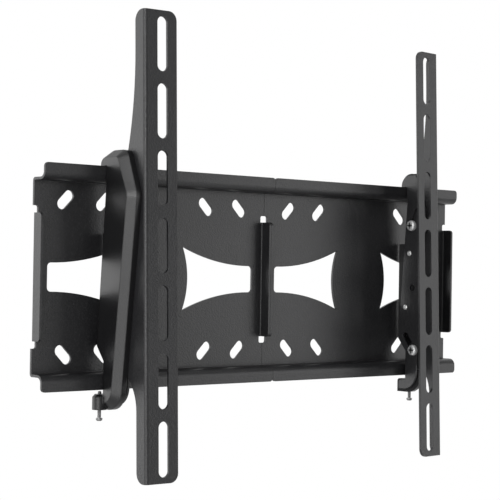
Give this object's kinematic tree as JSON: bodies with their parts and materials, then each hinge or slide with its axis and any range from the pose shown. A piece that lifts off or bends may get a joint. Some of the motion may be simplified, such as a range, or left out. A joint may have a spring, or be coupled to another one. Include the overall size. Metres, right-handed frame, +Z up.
{
  "type": "tilting tv wall mount",
  "caption": "Low-profile tilting wall mount for a flat television: a lipped wall plate with curved windows and slotted upright arms on sliding hooked hangers.",
  "frame": {"origin": "middle of the wall plate on its back face, the plane of the wall", "axes": "+X along the wall to the right as seen from the room, +Y into the wall, +Z up"},
  "size_m": [0.45, 0.0599, 0.35],
  "materials": {
    "coated_steel": "satin black powder coat",
    "black_plastic": "satin black moulding",
    "zinc_steel": "bright zinc plating"
  },
  "bodies": {
    "wall_plate": {"wall_plate_left": "coated_steel", "wall_plate_right": "coated_steel"},
    "hanger_left": {"hook_plate_left": "coated_steel", "side_cover_left": "black_plastic", "cover_rivets_left": "zinc_steel", "lock_insert_left": "zinc_steel"},
    "arm_left": {"tv_arm_left": "coated_steel", "tilt_screws_left": "zinc_steel", "tilt_nuts_left": "zinc_steel"},
    "locking_left": {"lock_screw_left": "zinc_steel"},
    "hanger_right": {"hook_plate_right": "coated_steel", "side_cover_right": "black_plastic", "cover_rivets_right": "zinc_steel", "lock_insert_right": "zinc_steel"},
    "arm_right": {"tv_arm_right": "coated_steel", "tilt_screws_right": "zinc_steel", "tilt_nuts_right": "zinc_steel"},
    "locking_right": {"lock_screw_right": "zinc_steel"}
  },
  "joints": [
    {"name": "hanger_left_travel", "type": "slide", "parent": "wall_plate", "child": "hanger_left", "axis": [1, 0, 0], "range_m": [-0.045, 0.1]},
    {"name": "arm_left_tilt", "type": "hinge", "parent": "hanger_left", "child": "arm_left", "pos_m": [-0.161, -0.1165, 0.018], "axis": [1, 0, 0], "range_deg": [-0.2, 7.8]},
    {"name": "locking_left_travel", "type": "slide", "parent": "hanger_left", "child": "locking_left", "axis": [0, 0, 1], "range_m": [0, 0.006]},
    {"name": "hanger_right_travel", "type": "slide", "parent": "wall_plate", "child": "hanger_right", "axis": [-1, 0, 0], "range_m": [-0.045, 0.1]},
    {"name": "arm_right_tilt", "type": "hinge", "parent": "hanger_right", "child": "arm_right", "pos_m": [0.161, -0.1165, 0.018], "axis": [1, 0, 0], "range_deg": [-0.2, 7.8]},
    {"name": "locking_right_travel", "type": "slide", "parent": "hanger_right", "child": "locking_right", "axis": [0, 0, 1], "range_m": [0, 0.006]}
  ]
}
